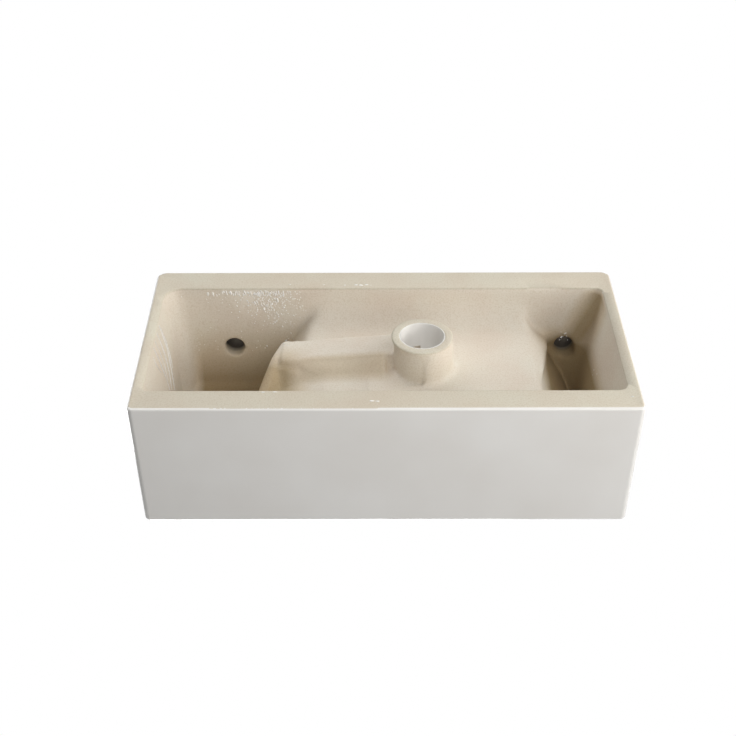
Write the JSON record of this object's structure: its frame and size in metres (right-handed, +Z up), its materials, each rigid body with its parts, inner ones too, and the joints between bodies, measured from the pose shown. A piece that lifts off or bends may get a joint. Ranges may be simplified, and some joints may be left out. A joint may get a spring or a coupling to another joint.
{
  "type": "wall-hung basin",
  "caption": "Rectangular wall-hung hand basin in glazed ceramic with a side tap deck, waste boss, overflow duct and open unglazed underside.",
  "frame": {"origin": "on the wall plane, midway between the two wall fixing holes at their height", "axes": "+Z up, +Y into the wall, -Y towards the user, +X towards the tap end"},
  "size_m": [0.5, 0.25, 0.145],
  "materials": {
    "bisque": "matte unglazed fired clay",
    "glaze": "glossy white sanitary glaze",
    "trim": "polished chrome"
  },
  "bodies": {
    "root": {"outer_shell": "bisque", "bowl": "bisque", "waste_boss": "bisque", "overflow_duct": "bisque", "shell_glaze": "glaze", "bowl_glaze": "glaze", "waste_bore_glaze": "glaze", "overflow_trim_ring": "trim"}
  },
  "joints": []
}
